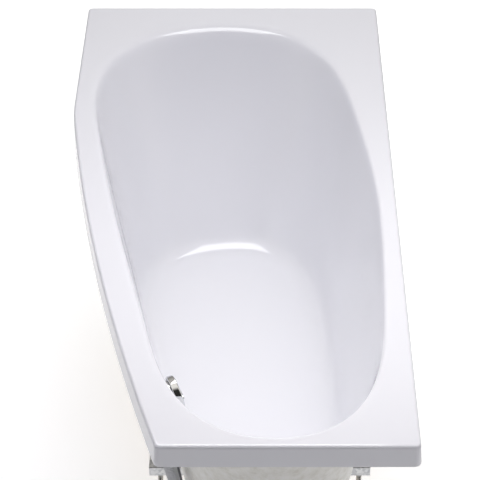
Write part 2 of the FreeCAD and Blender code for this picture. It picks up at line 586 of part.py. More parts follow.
# hose and sheathed cable from the overflow down to the waste
h0 = over_pt(0, -54, -28)
h1 = over_pt(0, -94, -28)
hose_pts = [tuple(h0), tuple(h1), (-119, -592, 352), (-110, -590, 300), (-99, -586, 240), (-88, -580, 186), (-66, -571, 138),
            (-30, WY, 114), (WX - 62, WY, 114)]
hp, hd = route(hose_pts)
hose = tube(hp, hd, HOSE_R).cut(tube(hp, hd, HOSE_BORE))
put("overflow_hose", hose)


def union():
    # a ribbed union nut over the butt joint between hose and spigot
    return Part.makeCylinder(17.6, 26, V(0, 0, -15)).cut(Part.makeCylinder(HOSE_R + 0.05, 40, V(0, 0, -20)))


un = union()
ur = [Part.makeCylinder(1.2, 26, V(17.9 * math.cos(k * math.pi / 9), 17.9 * math.sin(k * math.pi / 9), -15)) for k in range(18)]
for r in ur:
    un = un.cut(r)
u1 = un.copy()
u1.Placement = FreeCAD.Placement(h0, FreeCAD.Rotation(V(0, 0, 1), OB * -1))
put("hose_nut_upper", u1)
u2 = un.copy()
u2.Placement = FreeCAD.Placement(V(WX - 62, WY, 114), FreeCAD.Rotation(V(0, 0, 1), V(-1, 0, 0)))
put("hose_nut_lower", u2)

c0 = over_pt(-20.5, -26, -28)
c1 = over_pt(-20.5, -75, -28)
cable_pts = [tuple(c0), tuple(c1), (-102, -612, 372), (-93, -614, 318), (-84, -617, 262), (-74, -622, 208), (-58, -632, 160), (-26, -648, 126),
             (16, -664, 113), (52, -658, 112), (WX, -630, 112), (WX, -583, 112)]
cp, cd = route(cable_pts)
put("control_cable", tube(cp, cd, CABLE_R))

# ---------------------------------------------------------------- trap
tx = [V(WX, WY, 82), V(WX, WY, 54), V(WX + 48, WY, 54), V(WX + 70, WY, 76), V(205, WY, 76)]
s2 = math.sqrt(0.5)
tp = Part.Wire([Part.makeLine(tx[0], tx[1]),
                Part.Arc(tx[1], V(WX + 24, WY, 30), tx[2]).toShape(),
                Part.Arc(tx[2], V(WX + 70 - 22 * s2, WY, 54 + 22 * s2), tx[3]).toShape(),
                Part.makeLine(tx[3], tx[4])])
t_out, t_in = tube(tp, V(0, 0, -1), TRAP_OUT_R), tube(tp, V(0, 0, -1), TRAP_IN_R)
XA = V(1, 0, 0)
trap = t_out.fuse(ring(WX, WY, 78, 82, 23.0, 19.0)).fuse(Part.makeCylinder(24.0, 27, V(203, WY, 76), XA))
trap = trap.cut(t_in).cut(Part.makeCylinder(TRAP_IN_R, 10, V(200, WY, 76), XA)).cut(Part.makeCylinder(20.5, 30, V(207, WY, 76), XA))
put("trap_body", trap)
put("trap_inlet_washer", ring(WX, WY, 82, 84, 22.9, TRAP_IN_R))
tn = cyl(WX, WY, 74, 94, 28.0).cut(cyl(WX, WY, 78, 100, 23.05)).cut(cyl(WX, WY, 70, 80, 20.05))
for k in range(12):
    a = k * math.pi / 6
    tn = tn.cut(cyl(WX + 28.6 * math.cos(a), WY + 28.6 * math.sin(a), 70, 100, 2.2))
put("trap_inlet_nut", tn)
put("trap_outlet_washer", Part.makeCylinder(23.9, 3, V(230, WY, 76), XA).cut(Part.makeCylinder(20.5, 8, V(228, WY, 76), XA)))
on = Part.makeCylinder(28.5, 25, V(212, WY, 76), XA).cut(Part.makeCylinder(24.05, 21, V(212, WY, 76), XA)).cut(Part.makeCylinder(21.0, 40, V(210, WY, 76), XA))
for k in range(12):
    a = k * math.pi / 6
    on = on.cut(Part.makeCylinder(2.2, 40, V(205, WY + 29.1 * math.cos(a), 76 + 29.1 * math.sin(a)), XA))
put("trap_outlet_nut", on)

# ---------------------------------------------------------------- write the nodes
for name, shape in NODES.items():
    if not shape.isValid():
        print("INVALID", name)
    if len(shape.Solids) == 1:
        shape = shape.Solids[0]
    elif len(shape.Solids) == 0:
        print("NO SOLID", name)
    else:
        shape = Part.makeCompound(shape.Solids)
    shape.exportStep("parts/" + name + ".step")
    bb = shape.BoundBox
    print("%-24s solids %d  x %.1f..%.1f  y %.1f..%.1f  z %.1f..%.1f  vol %.0f" % (
        name, len(shape.Solids), bb.XMin, bb.XMax, bb.YMin, bb.YMax, bb.ZMin, bb.ZMax, shape.Volume))
print(len(NODES), "nodes")
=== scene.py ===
import bpy, bmesh, json, math
import numpy as np
from mathutils import Vector, Matrix
from mathutils.geometry import tessellate_polygon

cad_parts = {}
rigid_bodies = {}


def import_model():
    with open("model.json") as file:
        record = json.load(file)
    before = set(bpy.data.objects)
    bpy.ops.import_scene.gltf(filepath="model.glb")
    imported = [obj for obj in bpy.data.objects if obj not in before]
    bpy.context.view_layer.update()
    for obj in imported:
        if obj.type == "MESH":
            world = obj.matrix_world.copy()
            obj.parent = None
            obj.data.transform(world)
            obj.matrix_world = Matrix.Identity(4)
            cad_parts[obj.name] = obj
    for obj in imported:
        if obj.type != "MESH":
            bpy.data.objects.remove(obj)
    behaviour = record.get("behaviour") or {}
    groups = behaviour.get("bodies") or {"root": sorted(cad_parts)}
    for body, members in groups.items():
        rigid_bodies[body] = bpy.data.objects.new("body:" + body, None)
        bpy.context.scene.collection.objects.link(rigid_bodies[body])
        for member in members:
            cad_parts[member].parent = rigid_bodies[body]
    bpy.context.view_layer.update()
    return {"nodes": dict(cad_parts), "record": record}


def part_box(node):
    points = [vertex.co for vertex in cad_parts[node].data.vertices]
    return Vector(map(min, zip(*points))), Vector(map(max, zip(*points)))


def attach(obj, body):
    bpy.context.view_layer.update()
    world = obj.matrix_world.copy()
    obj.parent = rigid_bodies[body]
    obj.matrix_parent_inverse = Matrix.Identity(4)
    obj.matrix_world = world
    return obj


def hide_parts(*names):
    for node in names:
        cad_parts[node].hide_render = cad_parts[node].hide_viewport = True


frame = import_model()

MM = 0.001
NODES = frame["nodes"]

# ---------------------------------------------------------------- the bath's own numbers (mm)
LENGTH, WIDTH, RIM_Z, SKIRT_H, DRAFT, SKIRT_R = 1600.0, 750.0, 580.0, 50.0, 3.5, 6.5
CORNER_R, ACRYLIC, LAMINATE = 15.0, 5.0, 3.0
FLOOR_Z, FALL = 160.0, 0.010
FRONT_R, FRONT_MID, FRONT_N, KINK_LEN = 6049.0, (-278.4, -248.3), (-0.9766, -0.2155), 43.0
WX, WY = 70.0, -560.0
RIM_POLES = [(-29, 709), (-181, 673), (-293, 572), (-330, 426), (-313, 275), (-286, 130),
             (-260, -15), (-230, -160), (-195, -303), (-162, -446), (-129, -593), (-54, -726),
             (91, -787), (239, -738), (307, -602), (322, -448), (329, -301), (334, -155),
             (333, -7), (320, 140), (299, 286), (277, 434), (230, 578), (122, 681)]
FLOOR_POLES = [(15, 323), (-78, 309), (-157, 268), (-205, 203), (-215, 124), (-199, 42),
               (-178, -56), (-152, -178), (-118, -316), (-84, -457), (-49, -583), (14, -676),
               (112, -708), (200, -658), (235, -549), (240, -429), (238, -306), (233, -178),
               (226, -59), (218, 45), (205, 140), (177, 217), (131, 277), (75, 313)]
FLOOR_GROW = 7.0
RIM_REACH = [38, 38, 36, 30, 22, 20, 20, 20, 20, 20, 20, 18, 16, 17, 17, 16, 15, 15, 15, 16, 18, 24, 34, 38]
FLOOR_REACH = [70, 70, 68, 62, 58, 56, 56, 56, 56, 56, 56, 58, 60, 58, 56, 56, 56, 56, 56, 56, 60, 64, 68, 70]
N = len(RIM_POLES)
OVER_O = (-111.6832, -584.8783, 510.0)
OVER_N = (0.9207469, 0.3536494, 0.1647945)


# ---------------------------------------------------------------- basin surface
def loop_normals(p):
    p = np.array(p, float)
    t = np.roll(p, -1, 0) - np.roll(p, 1, 0)
    t /= np.linalg.norm(t, axis=1)[:, None]
    return np.stack([t[:, 1], -t[:, 0]], 1)


def floor_z(y):
    return FLOOR_Z + FALL * (y - WY)


def basin_columns(t):
    e, f = np.array(RIM_POLES, float), np.array(FLOOR_POLES, float)
    n, m = loop_normals(e), loop_normals(f)
    k = f + FLOOR_GROW * m
    cols = []
    for i in range(N):
        a, b = RIM_REACH[i], FLOOR_REACH[i]
        drop = RIM_Z - floor_z(k[i, 1])
        d = k[i] - e[i]
        slope = math.atan2(abs(float(d @ n[i])), drop)
        h = t * (1 - math.sin(slope)) / math.cos(slope)
        wall = math.hypot(math.hypot(*d), drop)

        def at(s):
            p = e[i] + d * s + n[i] * h
            return (p[0], p[1], RIM_Z - drop * s - t)
        r0 = e[i] + n[i] * a
        r1 = e[i] + n[i] * (a * 2 / 3 + h / 3)
        f1 = k[i] - m[i] * b * 2 / 3
        f2 = k[i] - m[i] * b
        g1 = f1 + m[i] * h / 3
        cols.append([(r0[0], r0[1], RIM_Z - t), (r1[0], r1[1], RIM_Z - t), at(0.0), at(a / wall), at(0.5),
                     at(1 - b / wall), at(1.0), (g1[0], g1[1], floor_z(f1[1]) - t), (f2[0], f2[1], floor_z(f2[1]) - t)])
    return np.array(cols)


def clamped_weights(vs, rows):
    # cubic basis with clamped uniform knots
    knots = np.array([0.0] * 3 + list(range(rows - 2)) + [rows - 3.0] * 3)
    out = np.zeros((len(vs), rows))
    for r, v in enumerate(vs):
        v = min(max(v, 0.0), rows - 3.0)
        b = [1.0 if (knots[i] <= v < knots[i + 1]) else 0.0 for i in range(len(knots) - 1)]
        if v >= rows - 3.0:
            b = [0.0] * (len(knots) - 1)
            b[rows - 1] = 1.0
        for p in range(1, 4):
            nb = []
            for i in range(len(knots) - 1 - p):
                l = (v - knots[i]) / (knots[i + p] - knots[i]) * b[i] if knots[i + p] > knots[i] else 0.0
                q = (knots[i + p + 1] - v) / (knots[i + p + 1] - knots[i + 1]) * b[i + 1] if knots[i + p + 1] > knots[i + 1] else 0.0
                nb.append(l + q)
            b = nb
        out[r] = b[:rows]
    return out


def periodic_weights(us):
    out = np.zeros((len(us), N))
    for r, u in enumerate(us):
        i = int(math.floor(u))
        s = u - i
        w = ((1 - s) ** 3 / 6, (3 * s ** 3 - 6 * s ** 2 + 4) / 6, (-3 * s ** 3 + 3 * s ** 2 + 3 * s + 1) / 6, s ** 3 / 6)
        for k in range(4):
            out[r, (i - 1 + k) % N] += w[k]
    return out


def basin_grid(t, nu, vs):
    c = basin_columns(t)
    wu = periodic_weights(np.arange(nu) * N / nu)
    wv = clamped_weights(vs, c.shape[1])
    return np.einsum("ui,vj,ijk->uvk", wu, wv, c)


# ---------------------------------------------------------------- the outline
CEN = (FRONT_MID[0] - FRONT_R * FRONT_N[0], FRONT_MID[1] - FRONT_R * FRONT_N[1])


def arc3(p, m, q, n):
    # n points on the arc from p through m towards q, without q
    p, m, q = (np.array(x, float) for x in (p, m, q))
    ax, ay = m - p
    bx, by = q - p
    d = 2 * (ax * by - ay * bx)
    ux = (by * (ax * ax + ay * ay) - ay * (bx * bx + by * by)) / d
    uy = (ax * (bx * bx + by * by) - bx * (ax * ax + ay * ay)) / d
    c = p + np.array([ux, uy])
    a0 = math.atan2(*(p - c)[::-1])
    a1 = math.atan2(*(q - c)[::-1])
    am = math.atan2(*(m - c)[::-1])
    span = (a1 - a0) % (2 * math.pi)
    if (am - a0) % (2 * math.pi) > span:
        span -= 2 * math.pi
    r = np.linalg.norm(p - c)
    return [(c[0] + r * math.cos(a0 + span * k / n), c[1] + r * math.sin(a0 + span * k / n)) for k in range(n)]


def line2(p, q, n):
    return [(p[0] + (q[0] - p[0]) * k / n, p[1] + (q[1] - p[1]) * k / n) for k in range(n)]


def outline(d):
    xl, xr, yt, yb = -WIDTH / 2 + d, WIDTH / 2 - d, LENGTH / 2 - d, -LENGTH / 2 + d
    R = FRONT_R - d
    c = max(CORNER_R - d, 3.0)
    ang_d = -math.pi - math.asin((yb - CEN[1]) / R)
    ang_k = -math.acos((xl - CEN[0]) / R)
    yk = CEN[1] + R * math.sin(ang_k)
    on = lambda a: (CEN[0] + R * math.cos(a), CEN[1] + R * math.sin(a))
    xd = on(ang_d)[0]
    half = math.atan2(abs(on(ang_d)[1] - on(ang_d + 0.001)[1]), abs(on(ang_d)[0] - on(ang_d + 0.001)[0]))
    inner = math.pi - half
    td = c / math.tan(inner / 2)
    tx, ty = -math.cos(half), math.sin(half)
    bl = math.hypot(1 + tx, ty)
    bx, by = (1 + tx) / bl, ty / bl
    dm = c / math.sin(inner / 2) - c
    s = 1 / math.sqrt(2)
    k1 = (xl, yk + KINK_LEN)
    a2 = ang_k + KINK_LEN / R
    k2 = on(a2)
    km = ((k1[0] + k2[0]) / 4 + xl / 2, (k1[1] + k2[1]) / 4 + yk / 2)
    a3 = ang_d - td / R
    d1 = on(a3)
    p = []
    p += line2((xl + c, yt), (xr - c, yt), 30)
    p += arc3((xr - c, yt), (xr - c + c * s, yt - c + c * s), (xr, yt - c), 10)
    p += line2((xr, yt - c), (xr, yb + c), 60)
    p += arc3((xr, yb + c), (xr - c + c * s, yb + c - c * s), (xr - c, yb), 10)
    p += line2((xr - c, yb), (xd + td, yb), 24)
    p += arc3((xd + td, yb), (xd + bx * dm, yb + by * dm), d1, 8)
    p += [on(a3 + (a2 - a3) * k / 90) for k in range(90)]
    p += arc3(k2, km, k1, 12)
    p += line2(k1, (xl, yt - c), 24)
    p += arc3((xl, yt - c), (xl + c - c * s, yt - c + c * s), (xl + c, yt), 10)
    return p


# ---------------------------------------------------------------- mesh helpers
def new_object(name, verts, faces, smooth=40.0, scale=MM):
    me = bpy.data.meshes.new(name)
    me.from_pydata([tuple(c * scale for c in v) for v in verts], [], faces)
    bm = bmesh.new()
    bm.from_mesh(me)
    bmesh.ops.remove_doubles(bm, verts=bm.verts, dist=1e-7)
    bmesh.ops.recalc_face_normals(bm, faces=bm.faces)
    bm.to_mesh(me)
    bm.free()
    ob = bpy.data.objects.new(name, me)
    bpy.context.scene.collection.objects.link(ob)
    shade(ob, smooth)
    return ob


def shade(ob, degrees):
    me = ob.data
    me.shade_smooth()
    me.set_sharp_from_angle(angle=math.radians(degrees))


def rings_to_faces(rings, closed_v=False):
    # rings: list of equally long closed loops of vertex indices
    f = []
    for a, b in zip(rings, rings[1:]):
        n = len(a)
        for i in range(n):
            j = (i + 1) % n
            f.append((a[i], a[j], b[j], b[i]))
    return f


def lathe(name, profile, segments=96, matrix=None, smooth=40.0, flute=None):
    # profile: closed list of (radius, height) in mm; flute(angle, r, z) may change the radius
    verts, faces, rows = [], [], []
    for r, z in profile:
        if r < 1e-6:
            rows.append([len(verts)] * segments)
            verts.append((0.0, 0.0, z))
        else:
            row = []
            for k in range(segments):
                a = 2 * math.pi * k / segments
                rr = flute(a, r, z) if flute else r
                row.append(len(verts))
                verts.append((rr * math.cos(a), rr * math.sin(a), z))
            rows.append(row)
    n = len(rows)
    for i in range(n):
        a, b = rows[i], rows[(i + 1) % n]
        if a[0] == a[1] and b[0] == b[1]:
            continue
        for k in range(segments):
            j = (k + 1) % segments
            q = [a[k], a[j], b[j], b[k]]
            q = [x for x, y in zip(q, q[1:] + q[:1]) if x != y]
            if len(set(q)) >= 3:
                faces.append(tuple(dict.fromkeys(q)))
    ob = new_object(name, verts, faces, smooth)
    if matrix is not None:
        ob.data.transform(matrix)
    return ob


def rounded(points, r, steps=4):
    # closed (radius, height) profile with its corners rounded; r is one number or one per corner
    out = []
    n = len(points)
    for i in range(n):
        p0, p, p1 = (np.array(points[j % n], float) for j in (i - 1, i, i + 1))
        rr = r[i] if hasattr(r, "__len__") else r
        if rr <= 0 or p[0] < 1e-6:
            out.append(tuple(p))
            continue
        u, v = p0 - p, p1 - p
        lu, lv = np.linalg.norm(u), np.linalg.norm(v)
        if lu < 1e-9 or lv < 1e-9:
            out.append(tuple(p))
            continue
        u, v = u / lu, v / lv
        c = min(rr, 0.45 * lu, 0.45 * lv)
        for k in range(steps + 1):
            s = k / steps
            q = p + u * c * (1 - s) ** 2 + v * c * s ** 2
            out.append((float(q[0]), float(q[1])))
    return out


def join(name, parts, smooth=40.0):
    bm = bmesh.new()
    for p in parts:
        bm.from_mesh(p.data)
        me = p.data
        bpy.data.objects.remove(p)
        bpy.data.meshes.remove(me)
    me = bpy.data.meshes.new(name)
    bm.to_mesh(me)
    bm.free()
    ob = bpy.data.objects.new(name, me)
    bpy.context.scene.collection.objects.link(ob)
    shade(ob, smooth)
    return ob


def finish_piece(ob, body, slot, material, *nodes):
    ob.data.materials.clear()
    ob.data.materials.append(material)
    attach(ob, body)
    if nodes:
        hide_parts(*nodes)
    return ob


# ---------------------------------------------------------------- materials
def shader(name):
    m = bpy.data.materials.new(name)
    m.use_nodes = True
    nt = m.node_tree
    b = nt.nodes["Principled BSDF"]
    tc = nt.nodes.new("ShaderNodeTexCoord")
    return m, nt, b, tc


def noise(nt, tc, scale, detail=3.0, rough=0.5, stretch=None, seed=0.0):
    src = tc.outputs["Object"]
    mp = nt.nodes.new("ShaderNodeMapping")
    mp.inputs["Location"].default_value = (seed, seed * 0.7, seed * 1.3)
    if stretch:
        mp.inputs["Scale"].default_value = stretch
    nt.links.new(src, mp.inputs["Vector"])
    n = nt.nodes.new("ShaderNodeTexNoise")
    n.inputs["Scale"].default_value = scale
    n.inputs["Detail"].default_value = detail
    n.inputs["Roughness"].default_value = rough
    nt.links.new(mp.outputs["Vector"], n.inputs["Vector"])
    return n.outputs["Fac"]


def ramp(nt, fac, stops):
    r = nt.nodes.new("ShaderNodeValToRGB")
    el = r.color_ramp.elements
    el[0].position, el[0].color = stops[0][0], (*stops[0][1], 1)
    el[1].position, el[1].color = stops[-1][0], (*stops[-1][1], 1)
    for p, c in stops[1:-1]:
        e = el.new(p)
        e.color = (*c, 1)
    nt.links.new(fac, r.inputs["Fac"])
    return r.outputs["Color"]


def spread(nt, fac, lo, hi, a=0.3, b=0.7):
    r = nt.nodes.new("ShaderNodeMapRange")
    r.inputs["From Min"].default_value = a
    r.inputs["From Max"].default_value = b
    r.inputs["To Min"].default_value = lo
    r.inputs["To Max"].default_value = hi
    nt.links.new(fac, r.inputs["Value"])
    return r.outputs["Result"]


def bump(nt, b, height, strength, distance, under=None):
    n = nt.nodes.new("ShaderNodeBump")
    n.inputs["Strength"].default_value = strength
    n.inputs["Distance"].default_value = distance
    nt.links.new(height, n.inputs["Height"])
    if under is not None:
        nt.links.new(under, n.inputs["Normal"])
    nt.links.new(n.outputs["Normal"], b.inputs["Normal"])
    return n.outputs["Normal"]


def set_in(b, **kw):
    for k, v in kw.items():
        b.inputs[k.replace("_", " ")].default_value = v


def scaled(c, f):
    return tuple(min(1.0, x * f) for x in c)


ACRYLIC_COLOUR = (0.862, 0.866, 0.896)


def acrylic():
    m, nt, b, tc = shader("acrylic_white")
    c = ACRYLIC_COLOUR
    col = ramp(nt, noise(nt, tc, 2.2, 2.0), [(0.25, scaled(c, 0.992)), (0.75, scaled(c, 1.006))])
    nt.links.new(col, b.inputs["Base Color"])
    nt.links.new(spread(nt, noise(nt, tc, 9.0, 3.0, seed=3.0), 0.03, 0.055), b.inputs["Roughness"])
    b.inputs["IOR"].default_value = 1.49
    wave = bump(nt, b, noise(nt, tc, 5.0, 1.0, seed=5.0), 0.35, 0.0006)
    bump(nt, b, noise(nt, tc, 340.0, 1.0, seed=7.0), 0.03, 0.0001, wave)
    return m


def laminate():
    m, nt, b, tc = shader("laminate")
    f1 = noise(nt, tc, 55.0, 6.0, 0.62, seed=1.0)
    col = ramp(nt, f1, [(0.30, (0.68, 0.67, 0.61)), (0.52, (0.80, 0.795, 0.75)), (0.72, (0.86, 0.855, 0.83))])
    nt.links.new(col, b.inputs["Base Color"])
    nt.links.new(spread(nt, noise(nt, tc, 30.0, 4.0, seed=2.0), 0.35, 0.65), b.inputs["Roughness"])
    strands = noise(nt, tc, 210.0, 5.0, 0.7, stretch=(1.0, 0.35, 1.0), seed=4.0)
    n1 = bump(nt, b, f1, 0.5, 0.0016)
    bump(nt, b, strands, 0.35, 0.0008, n1)
    return m


def particle_board():
    m, nt, b, tc = shader("particle_board")
    v = nt.nodes.new("ShaderNodeTexVoronoi")
    v.inputs["Scale"].default_value = 420.0
    nt.links.new(tc.outputs["Object"], v.inputs["Vector"])
    col = ramp(nt, v.outputs["Distance"], [(0.05, (0.40, 0.28, 0.16)), (0.35, (0.56, 0.42, 0.26)), (0.7, (0.68, 0.55, 0.38))])
    nt.links.new(col, b.inputs["Base Color"])
    b.inputs["Roughness"].default_value = 0.7
    bump(nt, b, v.outputs["Distance"], 0.3, 0.0005)
    return m


def timber():
    m, nt, b, tc = shader("timber")
    w = nt.nodes.new("ShaderNodeTexWave")
    w.wave_type = "BANDS"
    w.bands_direction = "X"
    w.inputs["Scale"].default_value = 36.0
    w.inputs["Distortion"].default_value = 5.0
    w.inputs["Detail"].default_value = 3.0
    w.inputs["Detail Scale"].default_value = 1.6
    mp = nt.nodes.new("ShaderNodeMapping")
    mp.inputs["Scale"].default_value = (1.0, 0.06, 1.4)
    nt.links.new(tc.outputs["Object"], mp.inputs["Vector"])
    nt.links.new(mp.outputs["Vector"], w.inputs["Vector"])
    col = ramp(nt, w.outputs["Fac"], [(0.1, (0.50, 0.34, 0.18)), (0.5, (0.66, 0.49, 0.30)), (0.9, (0.73, 0.58, 0.39))])
    nt.links.new(col, b.inputs["Base Color"])
    b.inputs["Roughness"].default_value = 0.62
    bump(nt, b, w.outputs["Fac"], 0.2, 0.0004)
    return m


def galvanised():
    m, nt, b, tc = shader("rail_steel")
    v = nt.nodes.new("ShaderNodeTexVoronoi")
    v.inputs["Scale"].default_value = 150.0
    nt.links.new(tc.outputs["Object"], v.inputs["Vector"])
    col = ramp(nt, v.outputs["Color"], [(0.2, (0.50, 0.51, 0.53)), (0.8, (0.70, 0.71, 0.72))])
    nt.links.new(col, b.inputs["Base Color"])
    b.inputs["Metallic"].default_value = 0.9
    nt.links.new(spread(nt, noise(nt, tc, 60.0, 3.0), 0.32, 0.5), b.inputs["Roughness"])
    bump(nt, b, v.outputs["Distance"], 0.08, 0.0003)
    return m


def zinc(name, tint=(0.70, 0.70, 0.67), rough=0.3):
    m, nt, b, tc = shader(name)
    f = noise(nt, tc, 120.0, 4.0)
    nt.links.new(ramp(nt, f, [(0.3, scaled(tint, 0.85)), (0.7, scaled(tint, 1.05))]), b.inputs["Base Color"])
    b.inputs["Metallic"].default_value = 1.0
    nt.links.new(spread(nt, noise(nt, tc, 300.0, 2.0, seed=2.0), rough * 0.8, rough * 1.3), b.inputs["Roughness"])
    bump(nt, b, noise(nt, tc, 900.0, 2.0, seed=4.0), 0.08, 0.0001)
    return m


def chrome():
    m, nt, b, tc = shader("chrome")
    f = noise(nt, tc, 40.0, 3.0)
    nt.links.new(ramp(nt, f, [(0.3, (0.78, 0.79, 0.80)), (0.7, (0.83, 0.84, 0.85))]), b.inputs["Base Color"])
    b.inputs["Metallic"].default_value = 1.0
    nt.links.new(spread(nt, noise(nt, tc, 160.0, 3.0, seed=2.0), 0.035, 0.07), b.inputs["Roughness"])
    bump(nt, b, noise(nt, tc, 25.0, 1.0, seed=3.0), 0.05, 0.0003)
    return m


def plastic(name, colour, rough=0.45, fine=600.0, depth=0.00015, vary=0.06):
    m, nt, b, tc = shader(name)
    f = noise(nt, tc, 18.0, 4.0)
    nt.links.new(ramp(nt, f, [(0.3, scaled(colour, 1 - vary)), (0.7, scaled(colour, 1 + vary))]), b.inputs["Base Color"])
    nt.links.new(spread(nt, noise(nt, tc, 80.0, 3.0, seed=2.0), rough * 0.85, min(1.0, rough * 1.2)), b.inputs["Roughness"])
    bump(nt, b, noise(nt, tc, fine, 2.0, seed=4.0), 0.25, depth)
    return m


MAT = {
    "acrylic_white": acrylic(),
    "laminate": laminate(),
    "particle_board": particle_board(),
    "timber": timber(),
    "rail_steel": galvanised(),
    "zinc_screw": zinc("zinc_screw", (0.72, 0.71, 0.66)),
    "zinc_rod": zinc("zinc_rod", (0.68, 0.68, 0.66), 0.28),
    "steel_pin": zinc("steel_pin", (0.62, 0.62, 0.63), 0.2),
    "chrome": chrome(),
    "brass": zinc("brass", (0.72, 0.56, 0.28), 0.25),
    "seal_rubber": plastic("seal_rubber", (0.055, 0.055, 0.06), 0.6, 900.0),
    "pad_plastic": plastic("pad_plastic", (0.05, 0.05, 0.055), 0.5, 500.0, 0.0003),
    "pipe_plastic": plastic("pipe_plastic", (0.80, 0.80, 0.78), 0.38),
    "nut_plastic": plastic("nut_plastic", (0.52, 0.53, 0.55), 0.42),
    "hose_plastic": plastic("hose_plastic", (0.74, 0.75, 0.77), 0.4),
    "drum_plastic": plastic("drum_plastic", (0.16, 0.16, 0.17), 0.4),
    "cable_sheath": plastic("cable_sheath", (0.07, 0.07, 0.08), 0.45),
}
for sp in frame["record"]["subparts"]:
    ob = NODES[sp["node"]]
    mat = MAT[sp["material_slot"]]
    if len(ob.material_slots):
        for s in ob.material_slots:
            s.material = mat
    else:
        ob.data.materials.append(mat)


# ---------------------------------------------------------------- the acrylic shell
def build_shell():
    nu = 480
    vs = np.concatenate([np.linspace(0, 2, 22), np.linspace(2, 4, 15)[1:], np.linspace(4, 6, 26)[1:]])
    vo = np.concatenate([np.linspace(0, 2, 10), np.linspace(2, 4, 10)[1:], np.linspace(4, 6, 14)[1:]])
    verts, faces = [], []

    def add_ring(pts):
        i0 = len(verts)
        verts.extend([tuple(map(float, p)) for p in pts])
        return list(range(i0, i0 + len(pts)))

    def basin(t, samples, floor_t, rings_r):
        g = basin_grid(t, nu, samples)
        rings = [add_ring(g[:, j]) for j in range(g.shape[1])]
        last = g[:, -1]
        ang = np.arctan2(last[:, 1] - WY, last[:, 0] - WX)
        rad = np.hypot(last[:, 1] - WY, last[:, 0] - WX)
        for s in (0.12, 0.26, 0.42, 0.58, 0.73, 0.86, 0.95):
            r = rad + (rings_r - rad) * s
            x, y = WX + r * np.cos(ang), WY + r * np.sin(ang)
            rings.append(add_ring(np.stack([x, y, floor_z(y) - t], 1)))
        x, y = WX + rings_r * np.cos(ang), WY + rings_r * np.sin(ang)
        rings.append(add_ring(np.stack([x, y, floor_z(y) - t], 1)))
        return rings, ang

    inside, ang = basin(0.0, vs, 0.0, 37.6)
    circ = lambda r, z: add_ring([(WX + r * math.cos(a), WY + r * math.sin(a), z) for a in ang])
    # a soft lip down into the recess round the waste, then the through hole
    zc = FLOOR_Z
    for r, dz in ((37.2, 0.05), (36.8, 0.3), (36.55, 0.8), (36.5, 1.4), (36.5, 2.6), (36.4, 2.8), (30.0, 2.8), (26.2, 2.8), (26.0, 3.0)):
        inside.append(circ(r, zc - dz))
    outside, _ = basin(ACRYLIC, vo, 0.0, 26.0)
    faces += rings_to_faces(inside)
    faces += rings_to_faces([inside[-1], outside[-1]])
    faces += rings_to_faces(outside)

    # skirt: from the rim plane over the rounded edge, down the drafted face and up inside
    arc = [(9.561 - SKIRT_R * math.cos(math.radians(p)), RIM_Z - SKIRT_R + SKIRT_R * math.sin(math.radians(p)))
           for p in (90, 78, 66, 54, 42, 30, 18, 8, 4)]
    line = [(0.07 * (z - 530.0), z) for z in (571.0, 562.0, 550.0, 540.0, 533.0, 531.4)]
    foot = [(0.10, 530.6), (0.45, 530.15), (1.0, 530.0), (4.0, 530.0), (4.7, 530.2), (4.98, 530.8)]
    inn = [(5.0 + 0.07 * (z - 530.0), z) for z in (533.0, 545.0, 558.0, 566.0, 570.0)] + [(8.3, 572.6), (9.4, 574.3), (11.5, 575.0)]
    skirt = [add_ring([(x, y, z) for x, y in outline(d)]) for d, z in arc + line + foot + inn]
    faces += rings_to_faces(skirt)

    def level_ring(ring, away):
        # one more ring 1.5 mm further over the flat, so that the flat is shaded level up to it
        p = np.array([verts[i] for i in ring])
        t = np.roll(p, -1, 0) - np.roll(p, 1, 0)
        n = np.stack([t[:, 1], -t[:, 0]], 1) / np.maximum(1e-9, np.hypot(t[:, 0], t[:, 1]))[:, None]
        mid = p[:, :2].mean(0)
        if ((p[:, :2] - mid) * n).sum() < 0:
            n = -n
        q = p.copy()
        q[:, :2] += away * n
        return add_ring(q)

    def plate(outer, hole):
        o2, h2 = level_ring(outer, -1.5), level_ring(hole, 1.5)
        tri = tessellate_polygon([[Vector(verts[i]) for i in o2], [Vector(verts[i]) for i in h2]])
        idx = o2 + h2
        return [tuple(idx[k] for k in t) for t in tri] + rings_to_faces([outer, o2]) + rings_to_faces([hole, h2])
    faces.extend(plate(skirt[0], inside[0]))
    faces.extend(plate(skirt[-1], outside[0]))
    return new_object("shell_moulding", verts, faces, 35.0)


def over_matrix():
    n = Vector(OVER_N).normalized()
    t = Vector((0, 0, 1)).cross(n).normalized()
    b = n.cross(t).normalized()
    o = Vector(OVER_O) * MM
    return Matrix(((t.x, b.x, n.x, o.x), (t.y, b.y, n.y, o.y), (t.z, b.z, n.z, o.z), (0, 0, 0, 1)))


OVER = over_matrix()
shell = build_shell()
cutter = lathe("cutter", [(0, -30), (26, -30), (26, 30), (0, 30)], 96, OVER)
mod = shell.modifiers.new("hole", "BOOLEAN")
mod.operation = "DIFFERENCE"
mod.solver = "EXACT"
mod.object = cutter
dg = bpy.context.evaluated_depsgraph_get()
cut = bpy.data.meshes.new_from_object(shell.evaluated_get(dg))
shell.modifiers.clear()
shell.data = cut
bpy.data.objects.remove(cutter)
shade(shell, 35.0)
finish_piece(shell, "bath", "acrylic_white", MAT["acrylic_white"], "bath_shell")


